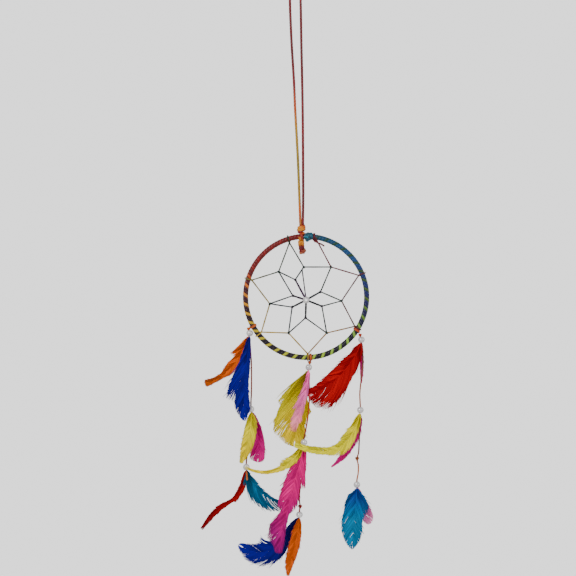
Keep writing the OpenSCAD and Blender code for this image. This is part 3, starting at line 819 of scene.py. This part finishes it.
# layer: before (-) or behind (+) the string; turn: the shaft's direction at even steps;
# edges: share of the length, left and right reach in mm; clump: how far barbs gather into locks;
# ragged: how uneven the locks are; fluff: reach out of the plane in mm
feathers = {
    "left_blue_feather": {
        "bead": "left_bead_1", "layer": -2, "length": 75, "turn": [-6, -7, 8],
        "edges": [(0, 1.2, 1.2), (0.12, 3.6, 2), (0.25, 6.5, 3), (0.38, 8.5, 3.6), (0.5, 12, 4),
                  (0.62, 15.5, 4.6), (0.74, 16.5, 5.5), (0.78, 9.5, 6), (0.9, 7.5, 5.5), (1, 2.5, 1)],
        "clump": 0.2, "ragged": 0.1, "fluff": 3.0, "dye": blueDye, "spacing": 0.2},
    "left_orange_feather": {
        "bead": "left_bead_1", "layer": 1, "length": 60, "turn": [-25, -30, -51, -74],
        "edges": [(0, 1.2, 1), (0.1, 3, 2.5), (0.2, 5.4, 3), (0.37, 9, 4), (0.39, 4, 4.5), (0.52, 5.6, 4.5),
                  (0.62, 4.4, 5), (0.72, 2.4, 3), (0.88, 2.4, 2.6), (1, 3.4, 3.6)],
        "clump": 0.03, "ragged": 0.03, "fluff": 1.0, "dye": orangeDye, "spacing": 0.11},
    "left_yellow_feather": {
        "bead": "left_bead_2", "layer": -1, "length": 46, "turn": [4, -15, -18],
        "edges": [(0, 1.4, 1.4), (0.15, 4, 4.4), (0.35, 6, 6.4), (0.6, 6, 6.6), (0.8, 4.4, 5), (1, 2, 1.6)],
        "clump": 0.35, "ragged": 0.1, "fluff": 1.4, "dye": goldDye},
    "left_magenta_feather": {
        "bead": "left_bead_2", "layer": 2, "length": 45, "turn": [29, 6, -10],
        "edges": [(0, 1, 1), (0.25, 4, 3), (0.5, 6, 4.4), (0.75, 8, 5.8), (0.95, 8, 6), (1, 7.5, 5)],
        "clump": 0.06, "ragged": 0.02, "fluff": 0.8, "dye": roseDye, "blunt": 1.6},
    "left_red_feather": {
        "bead": "left_bead_3", "layer": 2, "length": 69, "turn": [-5, -20, -48, -60, -40, -30],
        "edges": [(0, 1.6, 1.6), (0.12, 3.4, 2), (0.25, 3.6, 3), (0.36, 2.6, 3.4), (0.42, 1.6, 4.6),
                  (0.48, 1.6, 1.8), (0.6, 3.6, 2), (0.7, 3, 3.4), (0.85, 2, 3), (1, 1.6, 1.2)],
        "clump": 0.4, "ragged": 0.16, "fluff": 1.4, "dye": darkRedDye},
    "left_teal_feather": {
        "bead": "left_bead_3", "layer": 1, "length": 46, "turn": [17, 38, 56, 72],
        "edges": [(0, 1, 1), (0.12, 4, 2.4), (0.25, 8.5, 4), (0.38, 10.5, 4.5), (0.62, 13, 3.8),
                  (0.85, 12, 3), (1, 9, 2.4)],
        "clump": 0.6, "ragged": 0.34, "fluff": 1.4, "dye": deepTealDye, "blunt": 2},
    "centre_pink_feather": {
        "bead": "centre_bead_1", "layer": -2, "length": 56, "turn": [-4, -18, -17],
        "edges": [(0, 1, 1), (0.25, 3.6, 3.4), (0.5, 6.4, 3.6), (0.75, 7, 4.6), (1, 4, 3)],
        "clump": 0.5, "ragged": 0.3, "fluff": 1.8, "dye": pinkDye, "spacing": 0.4},
    "centre_yellow_feather": {
        "bead": "centre_bead_1", "layer": 1, "length": 68, "turn": [-18, -10, -6],
        "edges": [(0, 1.2, 1), (0.12, 5, 2.4), (0.25, 11, 3.6), (0.38, 17, 5), (0.48, 21, 8),
                  (0.54, 17.5, 12), (0.62, 20, 9), (0.75, 22, 8), (0.88, 21, 10), (0.93, 15, 8), (1, 9, 6)],
        "clump": 0.16, "ragged": 0.07, "fluff": 1.0, "dye": goldDye, "spacing": 0.15, "blunt": 2},
    "centre_gold_feather": {
        "bead": "centre_bead_2", "layer": -3, "length": 62, "turn": [-35, -50, -85, -120],
        "edges": [(0, 1.6, 1.6), (0.12, 3, 3), (0.25, 4, 4.6), (0.42, 6, 3.4), (0.48, 2.6, 2.6),
                  (0.62, 1.8, 2), (0.8, 1.5, 1.5), (1, 1, 1)],
        "clump": 0.35, "ragged": 0.12, "fluff": 1.2, "dye": goldDye},
    "centre_magenta_feather": {
        "bead": "centre_bead_2", "layer": -2, "length": 98, "turn": [-11, -18, -14, -13, -15],
        "edges": [(0, 2, 2), (0.06, 4, 4), (0.12, 6.4, 5), (0.25, 8.4, 8), (0.37, 9.6, 12),
                  (0.39, 9.6, 6.4), (0.5, 10.4, 8.8), (0.59, 9.6, 7.4), (0.64, 4, 3), (0.7, 6, 2.8),
                  (0.77, 12.5, 3), (0.9, 12, 4.6), (0.95, 5, 5), (1, 2, 5)],
        "clump": 0.12, "ragged": 0.06, "fluff": 1.8, "dye": magentaDye, "spacing": 0.2},
    "centre_orange_feather": {
        "bead": "centre_bead_3", "layer": -1, "length": 52, "turn": [-5, -14, -13],
        "edges": [(0, 1, 1), (0.12, 3.4, 2.4), (0.25, 5, 3.8), (0.5, 6, 4.8), (0.75, 6, 3.4), (0.9, 4.4, 2),
                  (1, 1.4, 1.4)],
        "clump": 0.25, "ragged": 0.08, "fluff": 1.4, "dye": amberDye},
    "centre_blue_feather": {
        "bead": "centre_bead_3", "layer": 3, "length": 68, "turn": [-33, -37, -52, -95, -122],
        "edges": [(0, 1.2, 1.2), (0.12, 4, 3), (0.25, 4.6, 5), (0.38, 5.4, 8), (0.5, 6.4, 11.5),
                  (0.62, 8.5, 14), (0.72, 13.5, 14), (0.76, 8, 13), (0.88, 6, 10), (1, 3, 3)],
        "clump": 0.16, "ragged": 0.1, "fluff": 2.0, "dye": navyDye, "spacing": 0.2, "blunt": 2},
    "right_red_feather": {
        "bead": "right_bead_1", "layer": -1, "length": 67, "turn": [-23, -37, -52, -66],
        "edges": [(0, 1.2, 1.4), (0.12, 4.6, 5), (0.25, 6.6, 8), (0.38, 8.4, 9.4), (0.5, 9, 11),
                  (0.62, 9, 14), (0.75, 8.4, 18), (0.86, 7, 20), (1, 6, 14)],
        "clump": 0.22, "ragged": 0.12, "fluff": 2.2, "dye": redDye, "spacing": 0.17, "blunt": 3},
    "right_pink_feather": {
        "bead": "right_bead_1", "layer": 1, "length": 36, "turn": [3, 0, -4],
        "edges": [(0, 0.9, 0.9), (0.25, 1.8, 1.8), (0.5, 2, 2), (0.75, 1.6, 1.6), (1, 0.8, 0.8)],
        "clump": 0.4, "ragged": 0.2, "fluff": 0.8, "dye": roseDye},
    "right_yellow_feather": {
        "bead": "right_bead_2", "layer": -4, "length": 77, "turn": [-14, -38, -94, -111],
        "edges": [(0, 1.4, 1.4), (0.12, 4, 2.8), (0.25, 6.4, 4), (0.36, 7, 6.4), (0.48, 4.4, 8.4),
                  (0.54, 3.6, 6), (0.64, 3.4, 4), (0.8, 3.2, 3.6), (1, 2, 2.6)],
        "clump": 0.3, "ragged": 0.1, "fluff": 1.4, "dye": yellowDye},
    "right_magenta_feather": {
        "bead": "right_bead_2", "layer": 1, "length": 56, "turn": [-11, -25, -52],
        "edges": [(0, 0.9, 0.9), (0.15, 2.4, 4.6), (0.35, 3, 6.4), (0.5, 3.6, 5.4), (0.75, 3, 4),
                  (0.9, 1.4, 1.8), (1, 0.6, 0.6)],
        "clump": 0.4, "ragged": 0.16, "fluff": 1.4, "dye": roseDye},
    "right_teal_feather": {
        "bead": "right_bead_3", "layer": -1, "length": 54, "turn": [-3, -6, -3],
        "edges": [(0, 1.2, 1.2), (0.07, 3.4, 4), (0.14, 8.4, 8), (0.25, 10.6, 11.6), (0.36, 10.4, 12),
                  (0.46, 11.4, 9), (0.58, 12, 7.4), (0.74, 11, 8.4), (0.86, 8.4, 7), (0.95, 5, 4),
                  (1, 2.4, 1.6)],
        "clump": 0.08, "ragged": 0.03, "fluff": 0.9, "dye": tealDye, "spacing": 0.2},
    "right_rose_feather": {
        "bead": "right_bead_3", "layer": 1, "length": 32, "turn": [18, 20],
        "edges": [(0, 0.9, 0.9), (0.3, 4, 3.4), (0.6, 5, 5.4), (0.85, 5, 6.4), (1, 4, 5)],
        "clump": 0.08, "ragged": 0.03, "fluff": 0.9, "dye": paleDye, "blunt": 3},
}


def barbShape():
    # one barb: a long four-sided blade, cut into even stations
    bpy.ops.object.select_all(action="DESELECT")
    bpy.ops.mesh.primitive_cylinder_add(vertices=4, radius=1, depth=1, location=(0, 0, 0.5))
    blade = bpy.context.object
    bpy.ops.object.transform_apply(location=True, rotation=True, scale=True)
    bpy.ops.object.mode_set(mode="EDIT")
    for i in range(1, barbs["stations"] - 1):
        bpy.ops.mesh.select_all(action="SELECT")
        bpy.ops.mesh.bisect(plane_co=(0, 0, i / (barbs["stations"] - 1)), plane_no=(0, 0, 1))
    bpy.ops.mesh.select_all(action="SELECT")
    bpy.ops.mesh.normals_make_consistent(inside=False)
    bpy.ops.object.mode_set(mode="OBJECT")
    places = np.array([v.co for v in blade.data.vertices], float)
    faces = np.array([tuple(p.vertices) for p in blade.data.polygons])
    bpy.data.objects.remove(blade)
    return places, faces


def shaftLine(spec):
    # the shaft from the bead's mouth, running out from the bore to the feather's own layer
    steps = shaft["steps"]
    turn = np.radians(np.interp(np.linspace(0, 1, steps + 1), np.linspace(0, 1, len(spec["turn"])),
                                spec["turn"]))
    step = spec["length"] / steps
    x = np.concatenate([[0], np.cumsum(np.sin(turn[:-1]) * step)])
    z = np.concatenate([[0], np.cumsum(-np.cos(turn[:-1]) * step)])
    side = math.copysign(1, spec["layer"])
    layer = side * (layers["first"] + layers["step"] * (abs(spec["layer"]) - 1))
    lean = layers["quillTurn"] * turn[0]
    run = np.linspace(0, spec["length"], steps + 1)
    rise = np.clip(run / shaft["settle"], 0, 1)
    rise = rise * rise * (3 - 2 * rise)
    x += layers["quill"] * math.sin(lean) * (1 - rise)
    y = side * layers["quill"] * math.cos(lean) * (1 - rise) + layer * rise
    low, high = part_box(spec["bead"])
    root = np.array([(low[0] + high[0]) / 2, 0, low[2] - 0.3 * mm])
    return np.stack([x, y, z], axis=1) * mm + root, turn


def quadMesh(name, verts, faces, attributes):
    mesh = bpy.data.meshes.new(name)
    mesh.vertices.add(len(verts))
    mesh.vertices.foreach_set("co", verts.astype(np.float32).ravel())
    mesh.loops.add(faces.size)
    mesh.loops.foreach_set("vertex_index", faces.astype(np.int32).ravel())
    mesh.polygons.add(len(faces))
    mesh.polygons.foreach_set("loop_start", np.arange(0, faces.size, 4, dtype=np.int32))
    mesh.polygons.foreach_set("use_smooth", [True] * len(faces))
    for key, values in attributes.items():
        floatAttribute(mesh, key, values)
    mesh.update(calc_edges=True)
    mesh.validate()
    return mesh


def makeFeather(name, spec, blade, seed):
    rng = np.random.default_rng(100 + seed)
    line, turn = shaftLine(spec)
    steps = len(line) - 1
    shape, shapeFaces = blade
    shares, lefts, rights = np.array(spec["edges"]).T
    side = math.copysign(1, spec["layer"])
    full = spec["length"] * mm

    def onShaft(t):
        i = np.clip(t, 0, 1) * steps
        point = np.stack([np.interp(i, np.arange(steps + 1), line[:, k]) for k in range(3)], axis=-1)
        return point, np.interp(i, np.arange(steps + 1), turn)

    def tipAt(t, sideways):
        point, angle = onShaft(t)
        over = np.clip(t - 1, 0, 1) * full
        return point + np.stack([np.cos(angle) * sideways + np.sin(angle) * over, np.zeros(len(t)),
                                 np.sin(angle) * sideways - np.cos(angle) * over], axis=1)

    rows = []
    for hand, edge in ((-1, lefts), (1, rights)):
        n = int(spec["length"] / spec.get("spacing", barbs["spacing"]))
        tip = np.linspace(0.02, 1.0, n)
        reach = np.interp(tip, shares, edge) * mm
        # roots stay evenly spread where the outline steps in
        spread = n // 6
        window = np.full(2 * spread + 1, 1 / (2 * spread + 1))
        hold = np.convolve(np.pad(reach, spread, "edge"), window, "valid")
        rows.append((tip, reach * hand, hold))
    # the end is closed by a fan of barbs from edge to edge
    n = max(4, int((lefts[-1] + rights[-1]) / spec.get("spacing", barbs["spacing"])))
    across = np.linspace(-1, 1, n)
    reach = np.where(across < 0, across * lefts[-1], across * rights[-1]) * mm
    rows.append((1 + spec.get("blunt", 1) * (1 - across ** 2) / spec["length"], reach,
                 np.interp(across, (-1, 0, 1), (rows[0][2][-1], 0, rows[1][2][-1]))))
    parts, along, tone = [], [], []
    for tip, reach, hold in rows:
        n = len(tip)
        # neighbouring barbs gather into locks, which stop short and lift together
        lock, i, count = np.zeros(n, int), 0, 0
        while i < n:
            size = rng.integers(barbs["lockLeast"], barbs["lockMost"])
            lock[i:i + size] = count
            i += size
            count += 1
        gathered = np.array([tip[lock == k].mean() for k in range(count)])[lock]
        uneven = (1 - spec["ragged"] * rng.random(count))[lock]
        reach = reach * uneven * (1 - barbs["reachJitter"] * rng.random(n))
        reach = reach * np.where(rng.random(n) < barbs["stray"], barbs["strayReach"], 1)
        lift = rng.normal(0, 1, count)[lock]
        lean = rng.normal(0, barbs["leanJitter"], n) + lift
        tipShare = tip + rng.normal(0, barbs["tipJitter"], n)
        back = (hold * barbs["rootBack"] + barbs["rootGap"]) / full * (0.9 + 0.2 * rng.random(n))
        rootShare = np.clip(tip - back, 0.004, barbs["rootLast"])
        p0, a0 = onShaft(rootShare)
        p3 = tipAt(tipShare, reach)
        locked = tipAt(tipShare + (gathered - tip) * spec["clump"], reach) - p3
        rise = side * spec["fluff"] * mm * np.clip(np.abs(reach) / (8 * mm), 0.1, 1)
        rise = rise * np.clip(lean * 0.4, -0.6, 1.3)
        length = np.linalg.norm(p3 - p0, axis=1)
        out = a0 + np.sign(reach) * barbs["angle"]
        away = np.stack([np.sin(out), np.zeros(n), -np.cos(out)], axis=1)
        p1 = p0 + away * (length * barbs["bow"])[:, None]
        u = shape[:, 2][None, :, None]
        q0, q1, q3 = p0[:, None], p1[:, None], p3[:, None]
        centre = (1 - u) ** 2 * q0 + 2 * u * (1 - u) * q1 + u ** 2 * q3 + locked[:, None] * u ** 4
        centre[:, :, 1] += rise[:, None] * u[:, :, 0] ** 2
        way = 2 * (1 - u) * (q1 - q0) + 2 * u * (q3 - q1)
        way /= np.linalg.norm(way, axis=2, keepdims=True) + 1e-12
        flat = np.cross(way, np.array([0, 1.0, 0]))
        flat /= np.linalg.norm(flat, axis=2, keepdims=True) + 1e-12
        face = np.cross(flat, way)
        tilt = (lean * barbs["liftTilt"] + barbs["tilt"] * np.sign(reach))[:, None, None]
        wideWay = flat * np.cos(tilt) + face * np.sin(tilt)
        thinWay = face * np.cos(tilt) - flat * np.sin(tilt)
        taper = (1 - barbs["taper"] * u ** 3) * mm
        parts.append((centre + wideWay * shape[None, :, :1] * barbs["wide"] * taper
                      + thinWay * shape[None, :, 1:2] * barbs["thick"] * taper).reshape(-1, 3))
        flow = rootShare[:, None] * 0.75 + 0.25 * u[:, :, 0]
        along.append(np.clip(flow, 0, 1).ravel())
        # each lock and barb gets its own tone: random dye differences, and at the bright end pale streaks of
        # painted highlight
        shade = 0.5 + barbs["toneLift"] * lift + barbs["toneJitter"] * rng.normal(0, 1, n)
        tone.append(np.repeat(np.clip(shade, 0, 1), len(shape)))
    verts = np.concatenate(parts)
    copies = len(verts) // len(shape)
    faces = (shapeFaces[None] + (np.arange(copies) * len(shape))[:, None, None]).reshape(-1, 4)
    # the shaft, its quill pushed a little way up the bead's bore
    rod = [Vector(p) for p in line[::3]][:-2]
    rod = [rod[0] + Vector((0, 0, shaft["quillUp"]))] + rod
    v, f, a, _ = tube(rod, lambda t: (shaft["root"] - shaft["taper"] * t) * mm, sides=4)
    faces = np.concatenate([faces, np.array(f) + len(verts)])
    verts = np.concatenate([verts, np.array([list(p) for p in v])])
    words = name.split("_")
    title = words[0] + "".join(w.capitalize() for w in words[1:])
    mesh = quadMesh(title, verts, faces, {"along": np.concatenate(along + [np.array(a)]),
                                          "tone": np.concatenate(tone + [np.full(len(v), shaft["tone"])])})
    mesh.materials.append(featherMaterial(title + "Dye", spec["dye"]))
    obj = bpy.data.objects.new(title, mesh)
    bpy.context.collection.objects.link(obj)
    return obj


def makeFeathers():
    blade = barbShape()
    for seed, (name, spec) in enumerate(feathers.items()):
        obj = makeFeather(name, spec, blade, seed)
        side, _, number = spec["bead"].split("_")
        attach(obj, side + bodyOf[int(number)])
        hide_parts(name)


makeFeathers()
print("feathers ready")
